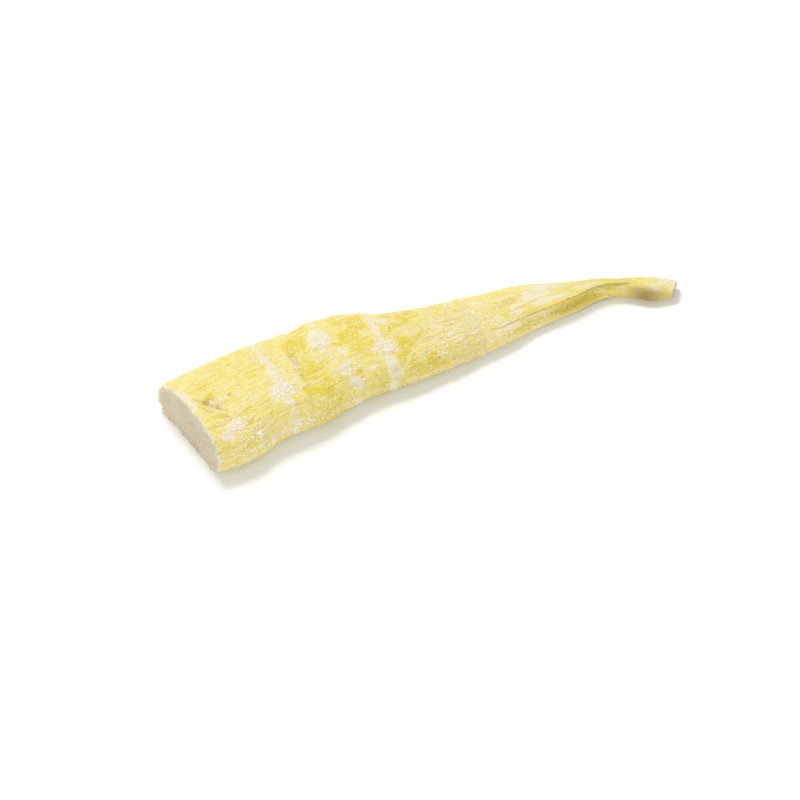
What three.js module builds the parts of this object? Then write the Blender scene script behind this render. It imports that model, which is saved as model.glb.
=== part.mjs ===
// A bamboo shoot, boiled, salted and part dried, pressed flat on the side that it lies on.
// The solid culm runs along +X from its knife-cut base and ends inside the leaf sheaths,
// which overlap like tiles. One more leaf, rolled lengthwise, stands out of them as the tip.
// "Near" is the -Y side and "far" the +Y side. Millimetres, +Z up.
import * as THREE from "three";
import { mergeVertices } from "three/addons/utils/BufferGeometryUtils.js";

// ---------------------------------------------------------------- driving dimensions

const LENGTH = 256.5; // middle of the cut base to the end of the rolled leaf
const BASE_WIDTH = 54;
const BASE_HEIGHT = 22;
const SHEATH_THICKNESS = 1.1;
const CLEARANCE = 0.3; // between pieces that lie against each other
const CUT_SKEW = 0.21; // how far the base cut runs forward for each mm towards the near side
const CUT_SLANT = 0.11; // and for each mm of height
const CUT_FADE = 42; // length over which the skew and slant of the cut die out

// Stations of the joints of the stem, measured from the base. They close up towards the tip.
const RINGS = [46, 57, 76, 101, 131, 142];
const RING_RISE = 0.7;
const RING_REACH = 2.2;

const CULM_END = 180;
const SHEATHS_FROM = 149; // the culm's skin dips under the sheaths from here
const CULM_DIP_REACH = 7;
const CULM_DIP = 2 * (SHEATH_THICKNESS + CLEARANCE);

// Middle line in plan: the shoot is bowed towards the far side.
const bow = curveThrough([
  [0, -0.8], [20, 1.8], [45, 7], [62, 8.5], [75, 12], [90, 13.3], [112, 10.6],
  [150, 10.7], [183, 13.4], [205, 11.8], [222, 11.3], [235, 6.8], [246, 1.5], [LENGTH, -3.6],
]);
const halfWidth = curveThrough([
  [0, BASE_WIDTH / 2], [18, 29], [45, 26.8], [62, 27], [88, 25.3], [112, 21.2],
  [150, 17], [182, 13.5], [205, 8.6], [218, 5.8], [235, 5.2], [246, 6.1], [LENGTH, 4.3],
]);
const height = curveThrough([
  [0, BASE_HEIGHT], [45, 22.5], [100, 19], [150, 15], [180, 12.5],
  [205, 11], [230, 9], [245, 8.4], [LENGTH, 6.5],
]);
// Where the section is widest, as a share of its height: higher on the far side than on the near one.
const SHOULDER = 0.35;
const SHOULDER_LEAN = 0.07;
// 1 is an oval section, and less is a squarer one. The shoot rounds off towards the tip.
const roundness = curveThrough([[0, 0.8], [100, 0.82], [150, 0.9], [185, 0.95], [LENGTH, 0.95]]);

// ---------------------------------------------------------------- helpers

function curveThrough(points) {
  const stations = points.map(([station]) => station);
  const values = points.map(([, value]) => value);
  const curve = new THREE.CubicInterpolant(stations, values, 1, new Float64Array(1));
  return (station) => curve.evaluate(station)[0];
}

const { degToRad, lerp, smoothstep } = THREE.MathUtils;

// |v| raised to a power below 1, with its sign kept: it squares up a circle.
const squared = (v, power) => Math.sign(v) * Math.abs(v) ** power;

// A point of the half-round section at a station. turn is in degrees: 0 is the far side, 90 the back,
// 180 the near side and 270 the middle of the split face. depth is how far the point lies under the skin.
function sectionPoint(station, turn, depth) {
  const c = Math.cos(degToRad(turn));
  const s = Math.sin(degToRad(turn));
  const top = height(station) - depth;
  const shoulder = top * (SHOULDER + SHOULDER_LEAN * c);
  const y = (halfWidth(station) - depth) * squared(c, roundness(station));
  const under = Math.max(0, shoulder * (1 - 1.25 * Math.abs(s) ** 0.8));
  const z = s >= 0 ? lerp(shoulder, top, s ** 0.84) : under;
  const cut = (CUT_SLANT * z - CUT_SKEW * y) * (1 - smoothstep(station, 0, CUT_FADE));
  return new THREE.Vector3(station + cut, bow(station) + y, z);
}

// A three.js box or cylinder whose vertices are moved by place(x, y, z), as one closed surface.
function reshaped(geometry, place) {
  geometry.deleteAttribute("normal");
  geometry.deleteAttribute("uv");
  const closed = mergeVertices(geometry, 1e-4);
  const position = closed.getAttribute("position");
  for (let i = 0; i < position.count; i += 1) {
    const moved = place(position.getX(i), position.getY(i), position.getZ(i));
    position.setXYZ(i, moved.x, moved.y, moved.z);
  }
  closed.computeVertexNormals();
  return closed;
}

function named(name, geometry, material) {
  const mesh = new THREE.Mesh(geometry, material);
  mesh.name = name;
  return mesh;
}

// ---------------------------------------------------------------- materials

const flesh = new THREE.MeshStandardMaterial({ color: "#eadb86", roughness: 0.6, metalness: 0 });
const leaf = new THREE.MeshStandardMaterial({ color: "#ecdf9c", roughness: 0.5, metalness: 0 });
const salt = new THREE.MeshStandardMaterial({ color: "#f4efdc", roughness: 0.35, metalness: 0 });

// ---------------------------------------------------------------- culm

// Depth of the culm's skin: it stands proud at each ring, with a groove behind, and dips under the sheaths.
function culmDepth(station) {
  const rings = RINGS.reduce((sum, ring) => {
    const offset = (station - ring) / RING_REACH;
    return sum + RING_RISE * offset * Math.exp(0.5 - offset * offset);
  }, 0);
  return rings + CULM_DIP * smoothstep(station, SHEATHS_FROM, SHEATHS_FROM + CULM_DIP_REACH);
}

// Stations for the culm's loops: a few around every ring, and an even spacing between.
function culmStations() {
  const atRings = RINGS.flatMap((ring) => [-1.6, 0, 1.6].map((step) => ring + step));
  const even = Array.from({ length: 23 }, (_, i) => (CULM_END * i) / 22);
  const spaced = even.filter((s) => atRings.every((r) => Math.abs(r - s) > 2.6));
  return [...spaced, ...atRings].sort((a, b) => a - b);
}

function culm() {
  const stations = culmStations();
  const steps = stations.length - 1;
  const around = 36;
  const body = new THREE.CylinderGeometry(1, 1, 1, around, steps);
  return reshaped(body, (x, y, z) => {
    const station = stations[Math.round((0.5 - y) * steps)];
    const middle = sectionPoint(station, 90, height(station) / 2);
    if (Math.hypot(x, z) < 0.5) return middle;
    const turn = THREE.MathUtils.radToDeg(Math.atan2(z, x));
    return sectionPoint(station, turn, culmDepth(station));
  });
}

// ---------------------------------------------------------------- sheaths

// A leaf sheath that lies on the culm like a roof tile. edges(along) gives the turns of its two margins,
// and depthAt(along, turn) how far under the skin its outer face lies. Its base end is tucked in thin.
function tileSheath({ from, to, edges, depthAt, steps = [14, 8] }) {
  const slab = new THREE.BoxGeometry(1, 1, 1, steps[0], steps[1], 1);
  return reshaped(slab, (x, y, z) => {
    const along = x + 0.5;
    const station = lerp(from, to, along);
    const [farEdge, nearEdge] = edges(along);
    const turn = lerp(nearEdge, farEdge, y + 0.5);
    const outer = depthAt(along, turn);
    const thin = lerp(0.35, 1, smoothstep(station, from, from + CULM_DIP_REACH));
    return sectionPoint(station, turn, outer + (0.5 - z) * SHEATH_THICKNESS * thin);
  });
}

const underUpper = SHEATH_THICKNESS + CLEARANCE;
const ROLL_MARGINS = [-78, 258];
const ROLL_SKEW = 0.9; // how far the blunt end of the roll runs forward for each mm towards the far side

// How far under the skin the roll lies: clear of two sheaths, then of one, then of none.
function rollInset(station) {
  const layers = 2 * underUpper - underUpper * smoothstep(station, 224, 232);
  return (layers + CLEARANCE) * (1 - smoothstep(station, 236, 246));
}

function upperSheath() {
  return tileSheath({
    from: 152,
    to: 237,
    edges: (along) => [lerp(34, 70, along ** 2), lerp(136, 98, along ** 3)],
    depthAt: () => 0,
  });
}

function nearSheath() {
  return tileSheath({
    from: 153.5,
    to: 224,
    edges: (along) => [108, lerp(221, 200, along ** 3)],
    depthAt: (along, turn) => underUpper * (1 - smoothstep(turn, 138, 155)),
  });
}

function farSheath() {
  return tileSheath({
    from: 153.5,
    to: 222,
    edges: (along) => [lerp(-41, -20, along ** 3), 66],
    depthAt: (along, turn) => underUpper * smoothstep(turn, 18, 32),
  });
}

// The leaf that is rolled lengthwise into a tube, with its two margins meeting underneath.
// It starts in the hollow of the sheaths and widens to the full section where it leaves them.
function rolledLeaf() {
  const slab = new THREE.BoxGeometry(1, 1, 1, 20, 24, 1);
  const [from, to] = [CULM_END + 3, LENGTH];
  return reshaped(slab, (x, y, z) => {
    const station = lerp(from, to, x + 0.5);
    const turn = degToRad(lerp(ROLL_MARGINS[1], ROLL_MARGINS[0], y + 0.5));
    const inset = rollInset(station);
    const depth = inset + (0.5 - z) * SHEATH_THICKNESS;
    const across = (halfWidth(station) - depth) * Math.cos(turn);
    const half = (height(station) - inset) / 2;
    const up = half + (half - (depth - inset)) * Math.sin(turn);
    const skew = ROLL_SKEW * smoothstep(station, 225, LENGTH);
    return new THREE.Vector3(station + skew * across, bow(station) + across, up);
  });
}

// ---------------------------------------------------------------- salt

// Where brine dried into a crust on the culm: station, turn, half length along, half span in degrees.
const CRUSTS = [
  { name: "salt_crust_base_near", station: 15, turn: 129, reach: 7, span: 15 },
  { name: "salt_crust_base_edge", station: 28, turn: 152, reach: 6, span: 9 },
  { name: "salt_crust_base_middle", station: 12, turn: 94, reach: 7, span: 7 },
  { name: "salt_crust_first_ring_middle", station: 47, turn: 106, reach: 4.5, span: 17 },
  { name: "salt_crust_first_ring_far", station: 43, turn: 70, reach: 3, span: 14 },
  { name: "salt_crust_third_ring", station: 73, turn: 84, reach: 5, span: 14 },
  { name: "salt_crust_fourth_ring", station: 101, turn: 113, reach: 6.5, span: 13 },
];
const CRUST_RISE = 0.8;

// A thin lens of salt lying on the skin, with a round outline.
function saltCrust({ station, turn, reach, span }) {
  const slab = new THREE.BoxGeometry(2, 2, 1, 6, 6, 1);
  return reshaped(slab, (x, y, z) => {
    const u = x * Math.sqrt(1 - (y * y) / 2);
    const v = y * Math.sqrt(1 - (x * x) / 2);
    const rise = CRUST_RISE * (0.35 + 0.65 * Math.sqrt(Math.max(0, 1 - u * u - v * v)));
    const at = station + u * reach;
    const lift = z > 0 ? CLEARANCE + rise : CLEARANCE;
    return sectionPoint(at, turn - v * span, culmDepth(at) - lift);
  });
}

// ---------------------------------------------------------------- assembly

const shoot = new THREE.Group();
shoot.add(
  named("culm", culm(), flesh),
  named("upper_sheath", upperSheath(), leaf),
  named("near_sheath", nearSheath(), leaf),
  named("far_sheath", farSheath(), leaf),
  named("rolled_leaf", rolledLeaf(), leaf),
  ...CRUSTS.map((crust) => named(crust.name, saltCrust(crust), salt)),
);

// The origin is the middle of the shoot's box, on the surface that it lies on.
const box = new THREE.Box3().setFromObject(shoot);
shoot.position.set(-(box.min.x + box.max.x) / 2, -(box.min.y + box.max.y) / 2, -box.min.z);

export default new THREE.Group().add(shoot);
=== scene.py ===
import math
import random
from bisect import bisect_right

import bmesh
import bpy
from bpy.props import FloatProperty, FloatVectorProperty, IntProperty, PointerProperty
from mathutils import Euler, Matrix, Vector, noise


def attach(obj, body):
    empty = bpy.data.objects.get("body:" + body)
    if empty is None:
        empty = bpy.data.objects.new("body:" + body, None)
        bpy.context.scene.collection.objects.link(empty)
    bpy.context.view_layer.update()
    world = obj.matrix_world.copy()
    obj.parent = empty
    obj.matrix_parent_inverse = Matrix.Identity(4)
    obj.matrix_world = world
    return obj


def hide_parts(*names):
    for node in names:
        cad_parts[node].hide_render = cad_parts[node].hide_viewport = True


bl_info = {
    "name": "Salted Bamboo Shoot",
    "version": (1, 0, 0),
    "blender": (4, 5, 0),
    "location": "View3D > Sidebar > Bamboo",
    "description": "Builds a salted, part-dried bamboo shoot around its fixed frame",
    "category": "Object",
}

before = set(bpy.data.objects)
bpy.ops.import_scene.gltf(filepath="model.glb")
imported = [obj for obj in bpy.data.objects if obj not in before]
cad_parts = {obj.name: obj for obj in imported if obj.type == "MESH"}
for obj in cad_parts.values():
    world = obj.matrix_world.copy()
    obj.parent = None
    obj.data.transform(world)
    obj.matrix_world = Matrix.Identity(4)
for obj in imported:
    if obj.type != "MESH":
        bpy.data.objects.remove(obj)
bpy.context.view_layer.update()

MM = 0.001  # lengths below are in mm unless their name or note says otherwise

# ------------------------------------------------------------------ small sums


def lerp(a, b, t):
    return a + (b - a) * t


def smooth(value, low, high):
    t = min(1.0, max(0.0, (value - low) / (high - low)))
    return t * t * (3 - 2 * t)


def bell(offset, reach):
    return math.exp(-((offset / reach) ** 2))


def signed_power(value, power):
    return math.copysign(abs(value) ** power, value)


def linear(hex_colour):
    """An sRGB hex colour as linear red, green and blue."""
    parts = [int(hex_colour[i : i + 2], 16) / 255 for i in (1, 3, 5)]
    return tuple(
        p / 12.92 if p <= 0.04045 else ((p + 0.055) / 1.055) ** 2.4 for p in parts
    )


def curve_through(points):
    """A smooth curve through (station, value) points, with the mean of both slopes at each."""
    xs = [float(x) for x, _ in points]
    ys = [float(y) for _, y in points]
    last = len(xs) - 1
    rise = [(ys[i + 1] - ys[i]) / (xs[i + 1] - xs[i]) for i in range(last)]
    slope = [(a + b) / 2 for a, b in zip([rise[0], *rise], [*rise, rise[-1]])]

    def value(x):
        i = min(last - 1, max(0, sum(1 for at in xs if at <= x) - 1))
        width = xs[i + 1] - xs[i]
        t = (x - xs[i]) / width
        t2, t3 = t * t, t * t * t
        return (
            (2 * t3 - 3 * t2 + 1) * ys[i]
            + (t3 - 2 * t2 + t) * width * slope[i]
            + (3 * t2 - 2 * t3) * ys[i + 1]
            + (t3 - t2) * width * slope[i + 1]
        )

    return value


# ------------------------------------------------------------------ the shoot's form, in mm

ORIGIN = Vector((127.714, 5.485, 0.0))  # the frame's origin, from the middle of the cut base
LENGTH = 256.5
CULM_END = 180.0
SHEATHS_FROM = 151.5  # the culm's skin dips under the sheaths from here
CULM_DIP = 2.8
CUT_SKEW = 0.21  # how far the cut runs forward for each mm towards the near side
CUT_SLANT = 0.11  # and for each mm of height
CUT_FADE = 42.0  # length over which the skew and slant die out
SHOULDER = 0.35  # where the section is widest, as a share of its height
SHOULDER_LEAN = 0.07  # added to that on the far side, and taken off on the near one

# The middle line in plan: how far it bows towards the far side.
bow = curve_through(
    [(0, -0.8), (20, 1.8), (45, 7), (62, 8.5), (75, 12), (90, 13.3), (112, 10.6),
     (150, 10.7), (183, 13.4), (205, 11.8), (222, 11.3), (235, 6.8), (246, 1.5), (LENGTH, -3.6)]
)  # fmt: skip
half_width = curve_through(
    [(0, 27), (18, 29), (45, 26.8), (62, 27), (88, 25.3), (112, 21.2),
     (150, 17), (182, 13.5), (205, 8.6), (218, 5.8), (235, 5.2), (246, 6.1), (LENGTH, 4.3)]
)  # fmt: skip
height = curve_through(
    [(0, 22), (45, 22.5), (100, 19), (150, 15), (180, 12.5), (205, 11),
     (230, 9), (245, 8.4), (LENGTH, 6.5)]
)
# 1 is an oval section, and less is a squarer one.
roundness = curve_through([(0, 0.8), (100, 0.82), (150, 0.9), (185, 0.95), (LENGTH, 0.95)])


def to_frame(x, y, z):
    """A place in mm from the cut base as a point in metres. Nothing goes below the floor."""
    return (Vector((x, y, max(0.0, z))) - ORIGIN) * MM


def section(station, turn, depth=0.0):
    """Across, up and cut offset of the pressed round section, depth mm under the skin."""
    c = math.cos(math.radians(turn))
    s = math.sin(math.radians(turn))
    top = height(station) - depth
    shoulder = top * (SHOULDER + SHOULDER_LEAN * c)
    across = (half_width(station) - depth) * signed_power(c, roundness(station))
    if s >= 0:
        up = lerp(shoulder, top, s**0.84)
    else:
        up = max(0.0, shoulder * (1 - 1.25 * abs(s) ** 0.8))
    cut = (CUT_SLANT * up - CUT_SKEW * across) * (1 - smooth(station, 0, CUT_FADE))
    return across, up, cut


def skin_point(station, turn, depth=0.0):
    across, up, cut = section(station, turn, depth)
    return to_frame(station + cut, bow(station) + across, up)


ROUND_STEPS = 720
GIRTH_STATION = 60.0  # the girth is measured here


def place_between(rising, wanted):
    """The index just under a wanted value in a rising list, and the share of the way to the next."""
    low = bisect_right(rising, wanted, 1, len(rising) - 1) - 1
    gap = rising[low + 1] - rising[low]
    return low, (wanted - rising[low]) / gap if gap else 0


def even_round(start, end):
    """A function from 0..1 to turns, evenly spaced by length round the section, and that length."""
    turns = [lerp(start, end, i / ROUND_STEPS) for i in range(ROUND_STEPS + 1)]
    places = [skin_point(GIRTH_STATION, turn) for turn in turns]
    run = [0.0]
    for a, b in zip(places, places[1:]):
        run.append(run[-1] + (b - a).length)
    shares = [r / run[-1] for r in run]

    def turn_at(share):
        low, onward = place_between(shares, share)
        return lerp(turns[low], turns[low + 1], onward)

    return turn_at, run[-1] / MM


# All the way round, from the middle of the underside.
ROUND_TURN, GIRTH = even_round(-90.0, 270.0)
TABLE_TURNS = [ROUND_TURN(i / ROUND_STEPS) for i in range(ROUND_STEPS + 1)]


def round_share(turn):
    """How far round the girth a turn lies, from 0 to 1."""
    low, onward = place_between(TABLE_TURNS, (turn + 90.0) % 360.0 - 90.0)
    return (low + onward) / ROUND_STEPS


def grain(station, share, along, across, seed):
    """Noise from -1 to 1 that is along mm long and across mm wide, unbroken round the girth."""
    angle = share * math.tau
    reach = GIRTH / math.tau / across
    return noise.noise(
        Vector((station / along + 31.7 * seed, reach * math.cos(angle), reach * math.sin(angle)))
    )


# ------------------------------------------------------------------ what shows on the skin


class Ring:
    """A joint of the stem: where it stands, how it leans, and how it shows."""

    def __init__(self, station, lean, arch, swell, groove, pale, reach):
        self.station, self.lean, self.arch = station, lean, arch
        self.swell, self.groove, self.pale, self.reach = swell, groove, pale, reach

    def offset(self, station, turn):
        """How far past the ring's wandering line a place lies, in mm."""
        c = math.cos(math.radians(turn))
        s = math.sin(math.radians(turn))
        wander = 1.0 * noise.noise(Vector((1.6 * c, 1.6 * s, self.station)))
        wander += 0.5 * noise.noise(Vector((6 * c, 6 * s, self.station)))
        return station - (self.station + self.lean * c + self.arch * s + wander)


RINGS = [
    Ring(44.2, -3.4, 1.0, swell=0.6, groove=0.35, pale=0.8, reach=3.6),
    Ring(56.5, 2.5, 0.5, swell=0.25, groove=0.85, pale=0.05, reach=2.0),
    Ring(76.0, -3.5, 0.5, swell=0.45, groove=0.2, pale=0.6, reach=4.0),
    Ring(101.5, 1.5, 0.0, swell=0.3, groove=0.3, pale=0.75, reach=2.8),
    Ring(130.5, -1.0, 0.5, swell=0.2, groove=0.2, pale=0.4, reach=1.8),
    Ring(141.0, 0.5, 0.0, swell=0.2, groove=0.15, pale=0.5, reach=1.8),
    Ring(150.0, 0.5, 0.0, swell=0.15, groove=0.1, pale=0.4, reach=1.5),
]

# Marks on the skin: station, turn, reach along in mm, reach round in degrees, strength.
PALE = [
    (45, 115, 7, 13, 0.9), (44, 80, 4, 12, 0.6), (48, 165, 4, 12, 0.7), (73, 78, 6, 15, 0.9),
    (79, 118, 6, 14, 0.6), (82, 150, 5, 15, 0.6), (105, 66, 6, 10, 0.7), (102, 105, 5, 9, 1.0),
    (102, 142, 3, 26, 0.9), (27, 104, 7, 5, 0.4), (125, 120, 10, 18, 0.35), (2, 75, 3.5, 25, 0.6),
    (15, 125, 6, 12, 0.6), (150, 100, 8, 30, 0.35), (116, 95, 5, 9, 0.42), (8, 134, 5, 9, 0.7),
    (81, 98, 5, 8, 0.5), (92, 134, 5, 8, 0.55),
]  # fmt: skip
VIVID = [
    (11, 86, 3.5, 4, 0.7), (24, 126, 4, 6, 0.6), (62, 70, 9, 18, 0.9), (62, 100, 6, 13, 0.8),
    (58, 126, 4, 9, 0.9), (67, 132, 8, 14, 0.85), (92, 100, 5, 7, 0.6), (90, 62, 11, 15, 0.75),
    (116, 64, 10, 13, 0.45), (58, 80, 4, 8, 0.9), (112, 152, 9, 12, 0.55), (133, 104, 3, 8, 0.5),
    (22, 152, 6, 8, 0.9), (35, 135, 8, 10, 0.4), (67, 168, 8, 8, 0.8), (145, 75, 5, 12, 0.4),
    (12, 76, 6, 6, 0.6), (23, 115, 6, 6, 0.85), (92, 165, 8, 10, 0.6), (119, 166, 13, 12, 0.9),
]  # fmt: skip
SALTY = [
    (15, 124, 8, 14, 1.0), (27, 150, 8, 14, 0.9), (12, 95, 6, 6, 0.7), (47, 112, 7, 15, 1.0),
    (43, 72, 4, 16, 0.8), (57, 92, 3, 12, 0.6), (73, 84, 6, 16, 0.8), (79, 125, 5, 18, 0.7),
    (102, 108, 6, 14, 1.0), (103, 150, 3, 20, 0.8), (105, 68, 6, 10, 0.6), (135, 110, 14, 25, 0.5),
    (160, 150, 12, 16, 0.7), (50, 172, 50, 8, 0.8), (110, 174, 50, 8, 0.5), (150, 100, 8, 40, 0.4),
]  # fmt: skip
PITS = [
    (57, 84, 1.4, 2, 0.7), (57.5, 90, 1.2, 2, 0.6), (56, 97, 1.4, 2, 0.6), (20.5, 92, 0.8, 0.9, 1.0),
    (57.5, 104, 1.1, 1.6, 0.5), (58, 111, 1.1, 1.8, 0.4), (58.5, 118, 1.0, 1.6, 0.5),
    (9, 90, 3.5, 1.6, 0.6), (13, 96, 2, 1.6, 0.6),
]  # fmt: skip


def marked(marks, station, turn):
    """The strongest of the marks at a place, from 0 to 1."""
    best = 0.0
    for at, round_at, reach, span, strength in marks:
        u = (station - at) / reach
        if abs(u) < 2.2:
            v = (turn - round_at) / span
            if abs(v) < 2.2:
                best = max(best, strength * math.exp(-(u * u + v * v)))
    return best


def culm_relief(station, turn, share):
    """How far the culm's skin stands out, in mm."""
    rise = 0.0
    for ring in RINGS:
        at = ring.offset(station, turn)
        if abs(at) < 16:
            worn = 0.55 + 0.9 * grain(ring.station, share, 50, 9, 6)
            rise += ring.swell * bell(at + 0.8, ring.reach)
            rise -= worn * ring.groove * bell(at - 2.6, 1.4)
    rise += 0.6 * grain(station, share, 20, 14, 1)
    rise += 0.32 * grain(station, share, 14, 3.0, 2)
    rise += 0.3 * grain(station, share, 7, 1.5, 3)
    furrow = abs(grain(station, share, 34, 6.5, 4))
    rise -= 0.55 * max(0.0, 1 - furrow / 0.13) * smooth(grain(station, share, 14, 20, 5), -0.2, 0.4)
    rise -= 0.5 * marked(PITS, station, turn)
    crumbled = smooth(turn, 142, 162) * (1 - smooth(turn, 186, 204))
    if crumbled > 0:
        rise += 0.8 * crumbled * grain(station, share, 5, 5, 22)
    return rise + flake_relief(station, turn)


def flake_relief(station, turn):
    """The flake lifted beside the cut, with a nick along its edge."""
    edge = turn - lerp(84, 103, (station - 4) / 10)
    if not (2 < station < 18 and abs(edge) < 14):
        return 0.0
    along = smooth(station, 2, 6) * (1 - smooth(station, 12, 18))
    return along * (0.9 * bell(edge - 5, 3.5) - 1.6 * bell(edge, 2.2))


# ------------------------------------------------------------------ mesh making

# How much of each finish shows at a place, from 0 to 1.
SHARES = ("pale", "vivid", "salty", "brown", "fibrous", "cut")


def sheet_mesh(name, rows, columns, place):
    """A piece's mesh from a grid of rows along the shoot by columns across it.

    place(along, across) gives a point in metres, a place on the skin in mm for the pattern, and
    the mesh's named shares. Where the grid's rims meet they are joined.
    """
    bm = bmesh.new()
    layers = {key: bm.verts.layers.float.new(key) for key in SHARES}
    bmesh.ops.create_grid(bm, x_segments=rows, y_segments=columns, size=0.5)
    bm.verts.index_update()
    skin = {}
    for vert in bm.verts:
        along = min(1.0, max(0.0, vert.co.x + 0.5))
        across = min(1.0, max(0.0, vert.co.y + 0.5))
        point, pattern, shares = place(along, across)
        vert.co = point
        skin[vert.index] = pattern
        for key, value in shares.items():
            vert[layers[key]] = value
    uv = bm.loops.layers.uv.new("skin")
    for face in bm.faces:
        for loop in face.loops:
            loop[uv].uv = skin[loop.vert.index]
    bmesh.ops.remove_doubles(bm, verts=bm.verts[:], dist=2e-6)
    bmesh.ops.dissolve_degenerate(bm, edges=bm.edges[:], dist=1e-7)
    bmesh.ops.recalc_face_normals(bm, faces=bm.faces[:])
    for face in bm.faces:
        face.smooth = True
    mesh = bpy.data.meshes.new(name)
    bm.to_mesh(mesh)
    bm.free()
    return mesh


def add_piece(name, mesh, materials, nodes=()):
    """Adds a finished piece, which takes the place of the named nodes of the frame."""
    piece = bpy.data.objects.new(name, mesh)
    bpy.context.scene.collection.objects.link(piece)
    for material in materials:
        mesh.materials.append(material)
    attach(piece, "root")
    if nodes:
        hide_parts(*nodes)
    return piece


# ------------------------------------------------------------------ materials


def add(material, kind, settings=None, **links):
    """Adds a node with its settings, and its inputs linked or set. i0 is the input numbered 0."""
    tree = material.node_tree
    node = tree.nodes.new(kind)
    for key, value in (settings or {}).items():
        setattr(node, key, value)
    for key, value in links.items():
        at = int(key[1:]) if key[1:].isdigit() else key.replace("_", " ")
        socket = node.inputs[at]
        if isinstance(value, bpy.types.NodeSocket):
            tree.links.new(value, socket)
        else:
            socket.default_value = value
    return node


def new_material(name):
    material = bpy.data.materials.new(name)
    material.use_nodes = True
    material.node_tree.nodes.clear()
    return material


def finish_material(material, colour, roughness, bump, shader):
    body = add(
        material, "ShaderNodeBsdfPrincipled",
        Base_Color=colour, Roughness=roughness, Normal=bump, **shader,
    )  # fmt: skip
    add(material, "ShaderNodeOutputMaterial", Surface=body.outputs[0])
    return material


def share_of(material, name):
    return add(material, "ShaderNodeAttribute", {"attribute_name": name}).outputs["Fac"]


def times(material, a, b):
    return add(material, "ShaderNodeMath", {"operation": "MULTIPLY"}, i0=a, i1=b).outputs[0]


def plus(material, a, b):
    return add(
        material, "ShaderNodeMath", {"operation": "ADD", "use_clamp": True}, i0=a, i1=b
    ).outputs[0]


def ramp(material, value, low, high):
    """The value spread from 0 at low to 1 at high."""
    return add(
        material, "ShaderNodeMapRange", {"interpolation_type": "SMOOTHSTEP"},
        Value=value, From_Min=low, From_Max=high,
    ).outputs[0]  # fmt: skip


def blend(material, share, a, b):
    return add(
        material, "ShaderNodeMix", {"data_type": "RGBA"}, i0=share, i6=a, i7=b
    ).outputs[2]


def skin_noise(material, along, across, detail=3.0, seed=0.0):
    """Noise stretched along the shoot: along mm long and across mm wide."""
    uv = add(material, "ShaderNodeUVMap", {"uv_map": "skin"}).outputs[0]
    stretched = add(
        material, "ShaderNodeMapping", Vector=uv,
        Location=(seed, seed * 1.7, 0), Scale=(1 / along, 1 / across, 1),
    ).outputs[0]  # fmt: skip
    return add(
        material, "ShaderNodeTexNoise", {"noise_dimensions": "2D"},
        Vector=stretched, Scale=1.0, Detail=detail, Roughness=0.6, Distortion=0.35,
    ).outputs["Fac"]  # fmt: skip


def grit_noise(material, size, detail=2.0):
    """Even noise of a size in mm, on the piece's own coordinates."""
    place = add(material, "ShaderNodeTexCoord").outputs["Object"]
    return add(
        material, "ShaderNodeTexNoise", Vector=place, Scale=1 / (size * MM), Detail=detail
    ).outputs["Fac"]


def patchy(material, share, noise):
    """A share with its soft edge broken into patches by a noise."""
    uneven = add(
        material, "ShaderNodeMath", {"operation": "MULTIPLY_ADD"}, i0=noise, i1=1.1, i2=share
    ).outputs[0]
    return ramp(material, uneven, 0.88, 1.1)


def rgba(colour):
    return (*colour, 1.0)


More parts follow.
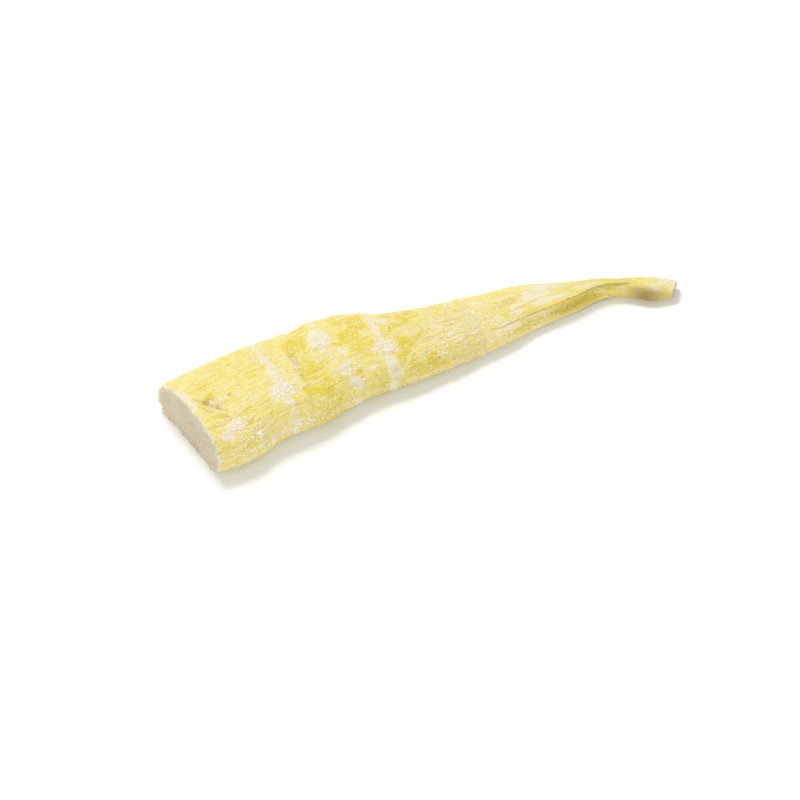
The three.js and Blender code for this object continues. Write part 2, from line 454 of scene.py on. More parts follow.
def flesh_material(name, colours, depth, fibre_strength=1.0):
    """Boiled bamboo flesh, cured in salt: a moist, fibrous, slightly see-through skin.

    Fine fibres run lengthwise. The joints have dried pale, the hollows behind them kept
    their yellow, and undissolved salt frosts it all. Light sinks in as far as the depth, in mm:
    less in a thin leaf than in the solid stem. The fibres are about 0.3 mm wide and the dry salt
    is finer still, so both are drawn about twice as coarse as that, to show.
    """
    m = new_material(name)
    fibre = skin_noise(m, 8, 0.7)
    streak = skin_noise(m, 10, 1.8, seed=5.0)
    patch = skin_noise(m, 5, 3.0, seed=9.0)
    blotch = grit_noise(m, 11, 3.0)
    mottle = grit_noise(m, 2.4, 2.0)
    grit = grit_noise(m, 0.55, 1.0)
    colour = blend(m, ramp(m, blotch, 0.35, 0.65), rgba(colours.pale_yellow), rgba(colours.yellow))
    colour = blend(m, times(m, ramp(m, streak, 0.5, 0.64), 0.6), colour, rgba(colours.pink))
    colour = blend(m, times(m, ramp(m, mottle, 0.56, 0.4), 0.3), colour, rgba(colours.pink))
    colour = blend(m, times(m, ramp(m, mottle, 0.5, 0.64), 0.35), colour, rgba(colours.vivid))
    stripes = times(m, ramp(m, fibre, 0.48, 0.64), times(m, share_of(m, "fibrous"), 0.55))
    colour = blend(m, stripes, colour, rgba(colours.vivid))
    vivid = times(m, patchy(m, share_of(m, "vivid"), patch), 0.85)
    colour = blend(m, vivid, colour, rgba(colours.vivid))
    # The pale share holds the dried joints, and on the upper and far sheaths painted highlights as
    # well.
    pale = times(m, patchy(m, share_of(m, "pale"), patch), 0.9)
    colour = blend(m, pale, colour, rgba(colours.joint_and_painted_highlight))
    frost = times(m, share_of(m, "salty"), ramp(m, grit, 0.5, 0.6))
    frost = plus(m, times(m, frost, 0.8), times(m, ramp(m, grit, 0.64, 0.72), 0.2))
    colour = blend(m, frost, colour, rgba(colours.salt))
    # The brown share holds the pits, flecks and spots, and painted shade on the near sheath and under
    # the rolled leaf.
    fleck = times(m, times(m, share_of(m, "salty"), ramp(m, grit, 0.42, 0.35)), 0.5)
    colour = blend(m, plus(m, share_of(m, "brown"), fleck), colour, rgba(colours.brown))
    rough = add(
        m, "ShaderNodeMapRange", Value=frost, To_Min=0.48, To_Max=0.62
    ).outputs[0]
    fibres = add(
        m, "ShaderNodeBump", Strength=fibre_strength, Distance=0.5 * MM, Height=fibre
    ).outputs[0]
    frosted = add(
        m, "ShaderNodeBump", Strength=0.6, Distance=0.3 * MM, Height=frost, Normal=fibres
    ).outputs[0]
    return finish_material(
        m, colour, rough, frosted,
        dict(
            Subsurface_Weight=0.2, Subsurface_Scale=depth * MM, Subsurface_Radius=(1.0, 0.8, 0.35),
            IOR=1.4, Specular_IOR_Level=0.4,
        ),
    )  # fmt: skip


def cut_material(colours):
    """The knife-cut base: dense wet flesh, beige, with the cut ends of its fibres as dots."""
    m = new_material("Knife-cut bamboo flesh")
    place = add(m, "ShaderNodeTexCoord").outputs["Object"]
    dots = add(
        m, "ShaderNodeTexVoronoi", Vector=place, Scale=1 / (1.5 * MM), Randomness=0.9
    ).outputs["Distance"]
    haze = grit_noise(m, 7, 3.0)
    grit = grit_noise(m, 0.6, 1.0)
    colour = blend(m, ramp(m, haze, 0.35, 0.65), rgba(colours.cut), rgba(colours.cut_light))
    colour = blend(m, times(m, ramp(m, dots, 0.32, 0.12), 0.55), colour, rgba(colours.cut_dark))
    colour = blend(m, share_of(m, "pale"), colour, rgba(colours.joint_and_painted_highlight))
    frost = times(m, ramp(m, grit, 0.56, 0.66), 0.6)
    colour = blend(m, frost, colour, rgba(colours.salt))
    bump = add(m, "ShaderNodeBump", Strength=0.5, Distance=0.25 * MM, Height=haze).outputs[0]
    bump = add(
        m, "ShaderNodeBump", Strength=0.5, Distance=0.2 * MM, Height=grit, Normal=bump
    ).outputs[0]
    return finish_material(
        m, colour, 0.5, bump,
        dict(
            Subsurface_Weight=0.2, Subsurface_Scale=1.6 * MM, Subsurface_Radius=(1.0, 0.85, 0.6),
            IOR=1.4, Specular_IOR_Level=0.4,
        ),
    )  # fmt: skip


def salt_material(colours):
    """Coarse curing salt: broken crystals, glassy but clouded, stained a little by the brine."""
    m = new_material("Clouded salt crystal")
    stain = grit_noise(m, 3, 1.0)
    colour = blend(m, ramp(m, stain, 0.4, 0.65), rgba(colours.salt), rgba(colours.salt_stained))
    grit = grit_noise(m, 0.4, 1.0)
    bump = add(m, "ShaderNodeBump", Strength=0.3, Distance=0.1 * MM, Height=grit).outputs[0]
    return finish_material(
        m, colour, 0.4, bump,
        dict(
            Subsurface_Weight=0.1, Subsurface_Scale=0.2 * MM, Subsurface_Radius=(1.0, 0.95, 0.8),
            IOR=1.54, Specular_IOR_Level=0.4,
        ),
    )  # fmt: skip


# ------------------------------------------------------------------ settings


def colour_property(name, hex_colour, description):
    return FloatVectorProperty(
        name=name, description=description, subtype="COLOR", size=3, min=0, max=1,
        default=linear(hex_colour),
    )  # fmt: skip


def length_property(name, mm, description):
    return FloatProperty(
        name=name, description=description, default=mm * MM, min=0, unit="LENGTH", precision=5
    )


class ShootColours(bpy.types.PropertyGroup):
    pale_yellow: colour_property("Pale yellow", "#f6e98f", "Skin between the fibres")
    yellow: colour_property("Yellow", "#f2e278", "Skin where the colour has kept")
    vivid: colour_property("Vivid yellow", "#e8d234", "Fibres, and the hollows behind the joints")
    pink: colour_property("Pink cream", "#f5e3b2", "Skin bruised by the salt")
    # Also the colour of the painted highlights on the upper and far sheaths.
    joint_and_painted_highlight: colour_property("Joint", "#f6ecd0", "The dried, pale joints")
    # Besides pits, flecks and spots, this brown paints shade on the near sheath's facet below the
    # fold and on the rolled leaf's underside.
    brown: colour_property("Brown", "#a07c40", "Pits and dried folds")
    cut: colour_property("Cut", "#d6c5a3", "The knife-cut base")
    cut_light: colour_property("Cut light", "#dccfb4", "Paler haze on the cut")
    cut_dark: colour_property("Cut dark", "#c4ae7c", "Fibre ends in the cut")
    salt: colour_property("Salt", "#fffaea", "Clean salt")
    salt_stained: colour_property("Stained salt", "#fdeec0", "Salt stained by the brine")


class ShootSizes(bpy.types.PropertyGroup):
    skin_cell: length_property("Skin cell", 0.68, "Edge length of the skin's mesh")
    sheath_thickness: length_property("Sheath thickness", 1.1, "Thickness of a leaf sheath")
    crust_rise: length_property("Crust rise", 0.8, "Height of a salt crust")
    grain_small: length_property("Smallest grain", 0.3, "Smallest grain of loose salt")
    grain_large: length_property("Largest grain", 0.85, "Largest grain of loose salt")
    grains_on_culm: IntProperty(
        name="Grains on the culm", description="Loose grains strewn on the culm",
        default=13000, min=0,
    )  # fmt: skip
    grains_on_leaves: IntProperty(
        name="Grains on the leaves", description="Loose grains strewn on the leaves",
        default=3400, min=0,
    )  # fmt: skip
    seed: IntProperty(name="Seed", description="Changes how the salt falls", default=7)


class StageSettings(bpy.types.PropertyGroup):
    floor: colour_property("Floor", "#fcfcfa", "The pale floor")
    key: FloatProperty(
        name="Key light", description="Power of the soft light overhead", default=9.7, min=0,
        subtype="POWER",
    )  # fmt: skip
    fill: FloatProperty(
        name="Fill light", description="Power of the light from the front", default=3.6, min=0,
        subtype="POWER",
    )  # fmt: skip
    room: FloatProperty(
        name="Room", description="Strength of the light all round", default=0.55, min=0
    )


# ------------------------------------------------------------------ culm

CAP_ROWS = 26  # rows of the mesh over the cut face
END_ROWS = 6  # and over the hidden end
RIM_REACH = 2.4  # the rim of the cut is rounded over this length
RIM_ROUNDING = 0.9


def culm_rise(station, turn, share):
    """The culm's relief, pressed flatter on the side that it lies on."""
    under = smooth(-math.sin(math.radians(turn)), 0.1, 0.6)
    return culm_relief(station, turn, share) * lerp(1.0, 0.35, under)


def culm_skin(station, turn, share):
    """A point on the culm's finished skin. On the far side the cut runs further back."""
    dip = CULM_DIP * smooth(station, SHEATHS_FROM, SHEATHS_FROM + 9)
    dip += RIM_ROUNDING * max(0.0, 1 - station / RIM_REACH) ** 2
    point = skin_point(station, turn, dip - culm_rise(station, turn, share))
    if station < 12:
        lean = -1.4 * smooth(math.cos(math.radians(turn)), 0, 1) * (1 - smooth(station, 0, 12))
        point.x += (lean + ragged_rim(share) * (1 - smooth(station, 0, 4))) * MM
    return point


def ragged_rim(share):
    """How far the torn fibres at the rim of the cut stand forward or back, in mm."""
    return 0.9 * grain(0.0, share, 9, 2.2, 16) + 0.6 * grain(0.0, share, 9, 0.8, 17)


def culm_shares(station, turn, share):
    """How much of each finish shows at a place on the culm."""
    ring_pale = max(r.pale * bell(r.offset(station, turn), r.reach) for r in RINGS)
    ring_pale *= 0.7 + 0.6 * grain(station, share, 6, 7, 8)
    kept = 0.62 * smooth(station, 54, 60) * (1 - smooth(station, 122, 135))
    kept *= 0.7 + 0.8 * grain(station, share, 16, 10, 9)
    rim = 1 - smooth(station, 0, 3)
    pale = min(1.0, max(ring_pale, marked(PALE, station, turn), 0.6 * rim))
    return {
        "pale": pale,
        "vivid": min(1.0, max(kept, marked(VIVID, station, turn))) * (1 - pale),
        "salty": max(marked(SALTY, station, turn), 0.6 * ring_pale, 0.7 * rim, 0.1),
        "brown": 0.8 * marked(PITS, station, turn),
        "fibrous": lerp(1.0, 0.35, smooth(station, 42, 60)),
        "cut": 0.0,
    }


class BAMBOO_OT_culm(bpy.types.Operator):
    """Build the ringed culm with its knife-cut base"""

    bl_idname = "bamboo.culm"
    bl_label = "Culm"

    def execute(self, context):
        sizes = context.scene.bamboo_sizes
        colours = context.scene.bamboo_colours
        cell = sizes.skin_cell / MM
        body_rows = round(CULM_END / cell)
        rows = CAP_ROWS + body_rows + END_ROWS
        columns = round(GIRTH / cell)
        end_middle = self.middle(CULM_END, CULM_DIP)

        def place(along, across):
            row = round(along * rows)
            turn = ROUND_TURN(across)
            share = across % 1.0
            if row < CAP_ROWS:
                return self.cut_face(row / CAP_ROWS, turn, share)
            station = min(CULM_END, (row - CAP_ROWS) * CULM_END / body_rows)
            point = culm_skin(station, turn, share)
            inward = (row - CAP_ROWS - body_rows) / END_ROWS
            if inward > 0:
                return point.lerp(end_middle, inward), (station, share * GIRTH), {}
            return point, (station, share * GIRTH), culm_shares(station, turn, share)

        mesh = sheet_mesh("Culm", rows, columns, place)
        materials = [flesh_material("Salted bamboo flesh", colours, depth=1.6), cut_material(colours)]
        add_piece("Culm", mesh, materials, ["culm"])
        cut = mesh.attributes["cut"].data
        for face in mesh.polygons:
            face.material_index = int(all(cut[v].value > 0.5 for v in face.vertices))
        return {"FINISHED"}

    def middle(self, station, depth):
        """The middle of the section, which closes an end of the culm."""
        low, high = skin_point(station, 270, depth), skin_point(station, 90, depth)
        return (low + high) / 2

    def cut_face(self, outward, turn, share):
        """A place on the cut, from 0 in its middle to 1 at its rim, with the knife's ripples."""
        torn = ragged_rim(share) * MM
        rim = culm_skin(0.0, turn, share) - Vector((torn, 0, 0))
        point = self.middle(0.0, 0.0).lerp(rim, outward**0.85)
        point.x += torn * outward**12
        ripple = noise.noise(point * 260) * 0.35 + noise.noise(point * 900) * 0.15
        dish = 0.8 * (1 - outward**6)
        point.x += (dish + ripple * (1 - outward**8)) * MM
        shares = {"cut": 1.0, "pale": 0.7 * smooth(outward, 0.9, 1.0)}
        return point, (-20 * (1 - outward), share * GIRTH), shares


# ------------------------------------------------------------------ leaf sheaths

SHEATH_ROW = 0.6  # length of a mesh cell along a sheath
SHEATH_COLUMNS = 130  # cells across a sheath, over both of its faces


class Sheath:
    """A leaf sheath lying on the culm like a roof tile."""

    def __init__(self, name, node, start, end, margins, depth, relief, marks):
        self.name, self.node, self.start, self.end = name, node, start, end
        self.margins, self.depth, self.relief, self.marks = margins, depth, relief, marks


def upper_relief(station, turn, across):
    """The back of the upper sheath: an eye-shaped hollow, and a curled near margin."""
    axis = 92 - 0.5 * (station - 174)
    hollow = bell(station - 174, 7) * bell(turn - axis, 6)
    lips = bell(station - 174, 10) * (bell(turn - axis - 15, 5) + bell(turn - axis + 15, 5))
    flat = 0.7 * smooth(turn, 80, fold_turn(station)) * smooth(station, 178, 200)
    flat *= 1 - smooth(station, 228, 238)
    curl = bell(across, 0.06) * smooth(station, 153, 162) * (1 - 0.8 * smooth(station, 172, 190))
    return -1.2 * hollow + 0.5 * lips + 0.3 * curl + flat


def fold_turn(station):
    """The turn of the upper sheath's near margin, along which the shoot is folded."""
    return lerp(136, 98, max(0.0, (station - 147.0) / 93.0) ** 3)


def near_depth(station, turn):
    """The near sheath comes out from under the fold, and is hollow below it."""
    below = turn - fold_turn(station)
    step = 0.15 * smooth(station, 158, 172)
    tucked = lerp(step, 1.5, smooth(-below, 0, 9)) * (1 - smooth(below, 0, 5))
    tucked += 0.6 * smooth(station, 216, 226)
    hollow = 0.7 * bell(below - 20, 14) * smooth(station, 162, 182)
    return tucked + hollow


SHEATHS = [
    Sheath(
        "Upper_sheath", "upper_sheath", 147.0, 240.0,
        margins=lambda t: (lerp(136, 98, t**3), lerp(34, 70, t**2)),
        depth=lambda station, turn: 0.25 * smooth(station, 232, 240),
        relief=upper_relief,
        marks=dict(
            # Painted highlights among the pale marks: (170, 78) and (176, 104) on the lips of the
            # eye-shaped hollow, (166, 133) along the curled near margin, and (186, 90) and (194, 66)
            # on the lit top.
            pale=[(170, 78, 9, 4, 0.65), (176, 104, 9, 4, 0.8), (194, 66, 14, 18, 0.75),
                  (166, 133, 9, 4, 0.8), (160, 122, 8, 8, 0.5), (186, 90, 12, 14, 0.75),
                  (172, 115, 6, 7, 0.7), (155, 74, 7, 16, 0.5),
                  (192, 112, 16, 12, 0.7), (174, 118, 8, 8, 0.5), (214, 98, 14, 18, 0.5)],
            vivid=[(172, 100, 7, 6, 0.4)],
            salty=[(157, 105, 14, 40, 0.65), (180, 80, 20, 40, 0.3)],
            brown=[(173, 92, 4, 3, 0.1)],
        ),
    ),
    Sheath(
        "Near_sheath", "near_sheath", 147.0, 226.0,
        margins=lambda t: (lerp(221, 200, t**3), 108.0),
        depth=near_depth,
        relief=lambda station, turn, across: 0.0,
        marks=dict(
            pale=[(160, 150, 10, 20, 0.3)],
            vivid=[(174, 163, 14, 14, 0.85), (208, 158, 18, 24, 1.0)],
            salty=[(164, 150, 12, 20, 0.35), (180, 165, 12, 14, 0.2)],
            # Painted shade: these brown marks darken the steep facet below the fold and its lower
            # edge, where the light does not reach.
            brown=[(214, 140, 12, 30, 0.25), (205, 162, 18, 18, 0.35)],
        ),
    ),
    Sheath(
        "Far_sheath", "far_sheath", 147.0, 224.0,
        margins=lambda t: (66.0, lerp(-41, -20, t**3)),
        depth=lambda station, turn: lerp(0.3, 1.5, smooth(turn, 34, 48)) * smooth(turn, 26, 34),
        relief=lambda station, turn, across: 0.0,
        marks=dict(
            # Painted highlight: the pale mark lights the sheath's top far edge.
            pale=[(195, 30, 20, 40, 0.6)],
            vivid=[(170, 20, 10, 20, 0.3)],
            salty=[(165, 20, 16, 30, 0.5)],
            brown=[],
        ),
    ),
]  # fmt: skip


def folded(across):
    """Where a column lies across a sheet folded over on itself, and which face it is on."""
    return (across * 2, 1) if across <= 0.5 else (2 - across * 2, -1)


def thickness_at(along, share, full):
    """A leaf's thickness: full in its middle, feathered to its margins and its end."""
    side = max(0.0, 1 - abs(2 * share - 1) ** 10) ** 0.5
    end = max(0.0, 1 - abs(2 * along - 1) ** 40) ** 0.5
    return full * side * end


def sheath_skin(sheath, along, share):
    """A place on a sheath's outer face: station, turn, share round the girth and depth.

    At its base end the sheath grows out of the culm, and takes on the culm's relief.
    """
    ragged = 0.5 * noise.noise(Vector((share * 9, sheath.end, 0)))
    ragged += 0.25 * noise.noise(Vector((share * 30, sheath.end, 4)))
    station = lerp(sheath.start, sheath.end + 6 * ragged, along)
    low, high = sheath.margins(along)
    wander = 3 * noise.noise(Vector((station / 9, low, 1.0)))
    wander += noise.noise(Vector((station / 2.5, low, 2.0)))
    turn = lerp(low + wander * (1 - share) ** 3, high + wander * share**3, share)
    around = round_share(turn)
    wrinkles = 0.5 * grain(station, around, 26, 12, 11)
    wrinkles += 0.3 * grain(station, around, 30, 4.0, 12)
    wrinkles += 0.16 * grain(station, around, 20, 1.8, 13)
    furrow = abs(grain(station, around, 60, 7, 14))
    wrinkles -= 0.26 * max(0.0, 1 - furrow / 0.14)
    slim = min(1.0, half_width(station) / half_width(150))
    rise = sheath.relief(station, turn, share) + wrinkles * slim
    own = smooth(station, 151, 164)
    rise = lerp(culm_rise(station, turn, around), rise, own) if own < 1 else rise
    tucked = 0.6 * (1 - smooth(station, 147, 153))
    return station, turn, around, sheath.depth(station, turn) + tucked - rise


class BAMBOO_OT_sheaths(bpy.types.Operator):
    """Build the leaf sheaths that overlap above the culm"""

    bl_idname = "bamboo.sheaths"
    bl_label = "Leaf sheaths"

    def execute(self, context):
        sizes = context.scene.bamboo_sizes
        colours = context.scene.bamboo_colours
        leaf = flesh_material("Salted leaf sheath", colours, depth=0.3, fibre_strength=0.6)
        full = sizes.sheath_thickness / MM
        for sheath in SHEATHS:

            def place(along, across, sheath=sheath):
                share, face = folded(across)
                station, turn, around, depth = sheath_skin(sheath, along, share)
                thick = thickness_at(along, share, full)
                thick *= lerp(1.0, 0.3, smooth(station, sheath.end - 30, sheath.end))
                if face < 0:
                    depth += thick
                shares = {k: marked(v, station, turn) for k, v in sheath.marks.items()}
                shares["salty"] = max(shares["salty"], 0.1)
                shares["fibrous"] = 0.5
                near = 1 - smooth(station, 150, 166)
                if near > 0:
                    for key, value in culm_shares(station, turn, around).items():
                        shares[key] = max(shares.get(key, 0.0), near * value)
                return skin_point(station, turn, depth), (station, around * GIRTH), shares

            rows = round((sheath.end - sheath.start) / SHEATH_ROW)
            mesh = sheet_mesh(sheath.name, rows, SHEATH_COLUMNS, place)
            add_piece(sheath.name, mesh, [leaf], [sheath.node])
        return {"FINISHED"}


# ------------------------------------------------------------------ rolled leaf

ROLL_MARGINS = (258.0, -78.0)  # the turns at which its two margins meet underneath
ROLL_FROM = 183.0
ROLL_SKEW = 0.9  # how far its blunt end runs forward for each mm towards the far side
ROLL_GIRTH = 40.0
ROLL_ROW = 0.5
ROLL_COLUMNS = 200


def roll_point(along, share, face, full):
    """A place on the rolled leaf. It lies inside the sheaths, then fills the whole section."""
    station = lerp(ROLL_FROM, LENGTH, along)
    turn = lerp(*ROLL_MARGINS, share)
    c, s = math.cos(math.radians(turn)), math.sin(math.radians(turn))
    around = (turn + 90) / 360
    rise = 0.35 * noise.noise(Vector((station / 14, 1.3 * c, 1.3 * s)))
    rise += 0.22 * noise.noise(Vector((station / 20, 4.5 * c, 4.5 * s)))
    rise += 0.10 * noise.noise(Vector((station / 9, 11 * c, 11 * s)))
    inset = lerp(lerp(3.0, 0.5, smooth(station, 200, 222)), 0.0, smooth(station, 228, 238))
    depth = inset - rise + (thickness_at(along, share, full) if face < 0 else 0.0)
    across = (half_width(station) - depth) * c
    half = (height(station) - inset) / 2
    up = half + (half - (depth - inset)) * s
    end = (1.1 + 0.5 * noise.noise(Vector((share * 12, 3.0, 1.0)))) * along**8
    skew = ROLL_SKEW * smooth(station, 225, LENGTH)
    return to_frame(station + skew * across + end, bow(station) + across, up), station, turn, around


class BAMBOO_OT_rolled_leaf(bpy.types.Operator):
    """Build the rolled leaf that stands out of the sheaths as the tip"""

    bl_idname = "bamboo.rolled_leaf"
    bl_label = "Rolled leaf"

    def execute(self, context):
        sizes = context.scene.bamboo_sizes
        colours = context.scene.bamboo_colours
        full = sizes.sheath_thickness / MM

        def place(along, across):
            share, face = folded(across)
            point, station, turn, around = roll_point(along, share, face, full)
            # Painted shade: the underside of the roll, turned away from the light, is browned towards
            # the end and keeps less of the pale.
            painted_belly_shade = smooth(turn, 95, 150) * (1 - smooth(turn, 200, 240))
            shares = {
                "pale": 0.52 * smooth(station, 232, 250) * (1 - 0.5 * painted_belly_shade),
                "vivid": 0.3 * bell(station - 234, 6),
                "salty": 0.15,
                "brown": 0.8 * painted_belly_shade * bell(station - 244, 9),
                "fibrous": 0.6,
            }
            return point, (station, around * ROLL_GIRTH), shares

        rows = round((LENGTH - ROLL_FROM) / ROLL_ROW)
        mesh = sheet_mesh("Rolled_leaf", rows, ROLL_COLUMNS, place)
        leaf = flesh_material("Rolled salted leaf", colours, depth=0.3)
        add_piece("Rolled_leaf", mesh, [leaf], ["rolled_leaf"])
        return {"FINISHED"}


# ------------------------------------------------------------------ salt

CRUST_DENSITY = 3.4  # grains of a crust for each mm of half length and degree of half span

# Salt crusts: node, station, turn, half length in mm, half span in degrees.
CRUSTS = [
    ("salt_crust_base_near", 15, 129, 7, 15),
    ("salt_crust_base_edge", 28, 152, 6, 9),
    ("salt_crust_base_middle", 12, 94, 7, 7),
    ("salt_crust_first_ring_middle", 47, 106, 4.5, 17),
    ("salt_crust_first_ring_far", 43, 70, 3, 14),
    ("salt_crust_third_ring", 73, 84, 5, 14),
    ("salt_crust_fourth_ring", 101, 113, 6.5, 13),
]


def seat(point_at, station, turn):
    """A place on a skin, and the direction that points out of it."""
    here = point_at(station, turn)
    ahead = point_at(station + 0.6, turn) - here
    round_way = point_at(station, turn + 2.0) - here
    return here, ahead.cross(round_way).normalized()


def on_culm(station, turn):
    """A place on the culm's skin."""
    return culm_skin(station, turn, round_share(turn))


class GrainHeap:
    """Salt grains gathered into one mesh. Each is a cube with its corners knocked about."""

    BATCH = 120  # grains shaped at a time, because a short list of them is quicker to add to

    def __init__(self, seed):
        self.random = random.Random(seed)
        self.bm = bmesh.new()
        self.batch = bmesh.new()
        self.count = 0

    def add(self, place, outward, size):
        rnd = self.random
        spin = Euler([rnd.uniform(0, math.tau) for _ in range(3)]).to_matrix().to_4x4()
        shape = Matrix.Diagonal(
            (rnd.uniform(0.7, 1.2), rnd.uniform(0.7, 1.2), rnd.uniform(0.5, 1.0), 1)
        )
        at = Matrix.Translation(place + outward * size * rnd.uniform(0.05, 0.35))
        made = bmesh.ops.create_cube(self.batch, size=size * 0.8, matrix=at @ spin @ shape)
        for vert in made["verts"]:
            vert.co += Vector([rnd.uniform(-0.16, 0.16) * size for _ in range(3)])
        self.count += 1
        if self.count % self.BATCH == 0:
            self.empty_batch()

    def empty_batch(self):
        mesh = bpy.data.meshes.new("batch")
        self.batch.to_mesh(mesh)
        self.batch.clear()
        self.bm.from_mesh(mesh)
        bpy.data.meshes.remove(mesh)

    def mesh(self, name):
        self.empty_batch()
        bmesh.ops.triangulate(self.bm, faces=self.bm.faces[:])
        bmesh.ops.recalc_face_normals(self.bm, faces=self.bm.faces[:])
        mesh = bpy.data.meshes.new(name)
        self.bm.to_mesh(mesh)
        self.bm.free()
        self.batch.free()
        return mesh


class BAMBOO_OT_salt_crusts(bpy.types.Operator):
    """Build the crusts where the brine dried on the culm"""

    bl_idname = "bamboo.salt_crusts"
    bl_label = "Salt crusts"

    def execute(self, context):
        sizes = context.scene.bamboo_sizes
        salt = salt_material(context.scene.bamboo_colours)
        for number, (node, station, turn, reach, span) in enumerate(CRUSTS):
            heap = GrainHeap(sizes.seed + 100 + number)
            rnd = heap.random
            for _ in range(round(reach * span * CRUST_DENSITY)):
                away = math.sqrt(rnd.random()) * rnd.uniform(0.75, 1.15)
                way = rnd.uniform(0, math.tau)
                u, v = away * math.cos(way), away * math.sin(way)
                s, t = station + u * reach, turn + v * span
                if noise.noise(Vector((s / 2.5, t / 4, number))) < -0.15:
                    continue
                here, outward = seat(on_culm, s, t)
                size = lerp(0.9, 0.4, away) * rnd.uniform(0.6, 1.1) * MM
                heap.add(here + outward * rnd.uniform(0, 0.25) * MM, outward, size)
            name = node.capitalize()
            add_piece(name, heap.mesh(name), [salt], [node])
        return {"FINISHED"}


def on_sheath(sheath):
    """A skin function of station and turn for a sheath's outer face."""

    def point_at(station, turn):
        along = (station - sheath.start) / (sheath.end - sheath.start)
        low, high = sheath.margins(along)
        _, at, _, depth = sheath_skin(sheath, along, (turn - low) / (high - low))
        return skin_point(station, at, depth)

    return point_at


def covered(sheath, turn):
    """Whether the upper sheath lies over another sheath at a turn."""
    near = sheath.node == "near_sheath" and turn < 136
    return near or (sheath.node == "far_sheath" and turn > 36)


class BAMBOO_OT_salt_grains(bpy.types.Operator):
    """Strew loose grains of salt over the culm and the sheaths"""

    bl_idname = "bamboo.salt_grains"
    bl_label = "Loose salt"

    def execute(self, context):
        sizes = context.scene.bamboo_sizes
        salt = salt_material(context.scene.bamboo_colours)
        small, large = sizes.grain_small, sizes.grain_large
        heap = GrainHeap(sizes.seed)
        rnd = heap.random
        while heap.count < sizes.grains_on_culm:
            station = rnd.uniform(0.5, 152)
            share = rnd.uniform(0.14, 0.86)
            turn = ROUND_TURN(share)
            salty = culm_shares(station, turn, share)["salty"]
            clump = smooth(grain(station, share, 4, 4, 21), -0.3, 0.5)
            if rnd.random() < (0.1 + 0.9 * salty) * lerp(0.25, 1.0, clump):
                here, outward = seat(on_culm, station, turn)
                if here.z > large / 2:
                    heap.add(here, outward, lerp(small, large, rnd.random() ** 2.2))
        add_piece("Loose_salt_on_culm", heap.mesh("Loose_salt_on_culm"), [salt])

        heap = GrainHeap(sizes.seed + 1)
        rnd = heap.random
        while heap.count < sizes.grains_on_leaves:
            sheath = rnd.choices(SHEATHS, (5, 4, 2))[0]
            station = rnd.uniform(sheath.start + 3, sheath.end - 6)
            along = (station - sheath.start) / (sheath.end - sheath.start)
            turn = lerp(*sheath.margins(along), rnd.uniform(0.04, 0.96))
            if covered(sheath, turn):
                continue
            salty = marked(sheath.marks["salty"], station, turn)
            if rnd.random() < (0.15 + 0.85 * salty) * (1.1 - along) ** 1.5:
                here, outward = seat(on_sheath(sheath), station, turn)
                if here.z > large / 2 and (sheath.node != "upper_sheath" or outward.z > 0):
                    heap.add(here, outward, lerp(small, large * 0.8, rnd.random() ** 2.5))
        add_piece("Loose_salt_on_leaves", heap.mesh("Loose_salt_on_leaves"), [salt])
        return {"FINISHED"}


# ------------------------------------------------------------------ stage

KEY_PLACE, KEY_SIZE = (-0.05, 0.75, 1.10), 0.45  # metres, from the middle of the shoot
FILL_PLACE, FILL_SIZE = (-0.25, -0.95, 0.6), 0.8
FLOOR_HALF = 3.0  # metres
CAMERA_PLACE = Vector((-107.9, -508.3, 596.8))  # mm, from the middle of the cut base
CAMERA_AZIMUTH, CAMERA_ELEVATION = -23.0, 48.1  # degrees
CAMERA_LENS = 75.24  # mm, on a sensor 36 mm wide


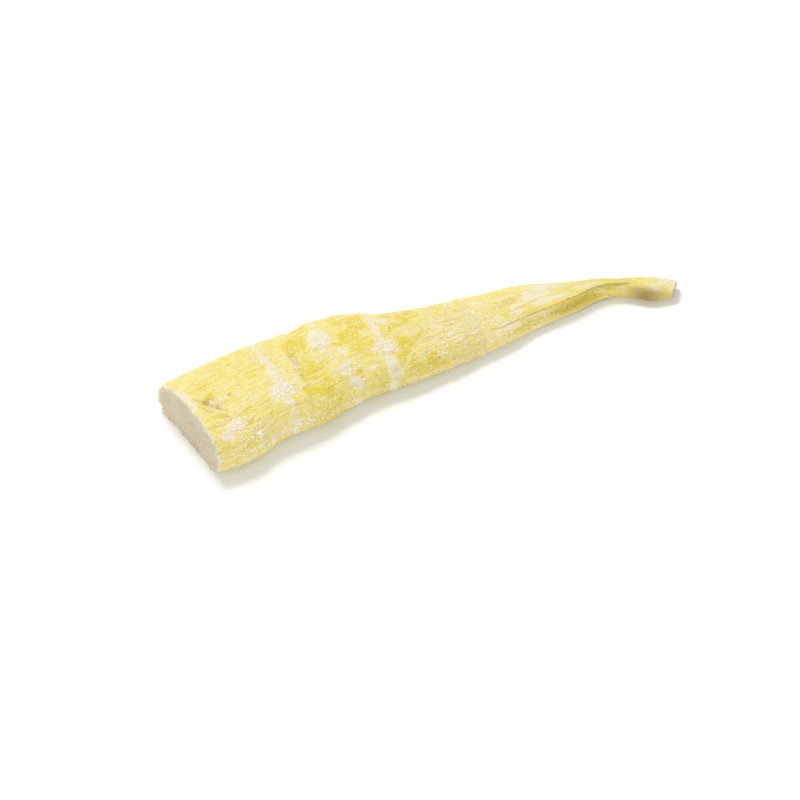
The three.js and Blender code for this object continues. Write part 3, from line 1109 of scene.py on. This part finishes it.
class BAMBOO_OT_stage(bpy.types.Operator):
    """Set up the pale floor, the soft lights and the camera"""

    bl_idname = "bamboo.stage"
    bl_label = "Stage"

    def execute(self, context):
        stage = context.scene.bamboo_stage
        self.lay_floor(stage)
        self.hang_light("Key", KEY_PLACE, KEY_SIZE, stage.key)
        self.hang_light("Fill", FILL_PLACE, FILL_SIZE, stage.fill)
        world = bpy.data.worlds.new("Room")
        world.use_nodes = True
        sky = world.node_tree.nodes["Background"].inputs
        sky["Color"].default_value = (1, 1, 1, 1)
        sky["Strength"].default_value = stage.room
        context.scene.world = world
        context.scene.view_settings.view_transform = "Standard"
        self.set_camera(context)
        return {"FINISHED"}

    def lay_floor(self, stage):
        bm = bmesh.new()
        bmesh.ops.create_grid(bm, x_segments=1, y_segments=1, size=FLOOR_HALF)
        mesh = bpy.data.meshes.new("Floor")
        bm.to_mesh(mesh)
        bm.free()
        floor = bpy.data.objects.new("Floor", mesh)
        bpy.context.scene.collection.objects.link(floor)
        m = new_material("Matt white board")
        body = add(
            m, "ShaderNodeBsdfPrincipled", Base_Color=rgba(stage.floor), Roughness=0.8,
            Specular_IOR_Level=0.2,
        )  # fmt: skip
        add(m, "ShaderNodeOutputMaterial", Surface=body.outputs[0])
        mesh.materials.append(m)

    def hang_light(self, name, place, size, power):
        """Hangs a soft round light that shines on the middle of the shoot."""
        light = bpy.data.lights.new(name, "AREA")
        light.shape = "DISK"
        light.size = size
        light.energy = power
        lamp = bpy.data.objects.new(name, light)
        bpy.context.scene.collection.objects.link(lamp)
        lamp.location = place
        lamp.rotation_euler = (-Vector(place)).to_track_quat("-Z", "Y").to_euler()

    def set_camera(self, context):
        azimuth, elevation = math.radians(CAMERA_AZIMUTH), math.radians(CAMERA_ELEVATION)
        back = Vector((
            math.sin(azimuth) * math.cos(elevation),
            -math.cos(azimuth) * math.cos(elevation),
            math.sin(elevation),
        ))  # fmt: skip
        data = bpy.data.cameras.new("Camera")
        data.sensor_width = 36.0
        data.lens = CAMERA_LENS
        data.clip_start = 0.05
        camera = bpy.data.objects.new("Camera", data)
        context.scene.collection.objects.link(camera)
        camera.location = (CAMERA_PLACE - ORIGIN) * MM
        camera.rotation_mode = "QUATERNION"
        camera.rotation_quaternion = (-back).to_track_quat("-Z", "Y")
        context.scene.camera = camera


# ------------------------------------------------------------------ panel and main


class BAMBOO_PT_panel(bpy.types.Panel):
    """The shoot's sizes, colours and building steps"""

    bl_idname = "BAMBOO_PT_panel"
    bl_label = "Salted Bamboo Shoot"
    bl_space_type = "VIEW_3D"
    bl_region_type = "UI"
    bl_category = "Bamboo"

    def draw(self, context):
        scene = context.scene
        for group in (scene.bamboo_sizes, scene.bamboo_colours, scene.bamboo_stage):
            box = self.layout.box()
            for key in group.__annotations__:
                box.prop(group, key)
        for operator in OPERATORS:
            self.layout.operator(operator.bl_idname)


OPERATORS = [
    BAMBOO_OT_stage,
    BAMBOO_OT_culm,
    BAMBOO_OT_sheaths,
    BAMBOO_OT_rolled_leaf,
    BAMBOO_OT_salt_crusts,
    BAMBOO_OT_salt_grains,
]
GROUPS = {
    "bamboo_colours": ShootColours,
    "bamboo_sizes": ShootSizes,
    "bamboo_stage": StageSettings,
}


def register():
    for name, group in GROUPS.items():
        bpy.utils.register_class(group)
        setattr(bpy.types.Scene, name, PointerProperty(type=group))
    for cls in (*OPERATORS, BAMBOO_PT_panel):
        bpy.utils.register_class(cls)


def unregister():
    for cls in (BAMBOO_PT_panel, *reversed(OPERATORS)):
        bpy.utils.unregister_class(cls)
    for name, group in GROUPS.items():
        delattr(bpy.types.Scene, name)
        bpy.utils.unregister_class(group)


def main():
    register()
    bpy.ops.bamboo.stage()
    bpy.ops.bamboo.culm()
    bpy.ops.bamboo.sheaths()
    bpy.ops.bamboo.rolled_leaf()
    bpy.ops.bamboo.salt_crusts()
    bpy.ops.bamboo.salt_grains()


if __name__ == "__main__":
    main()
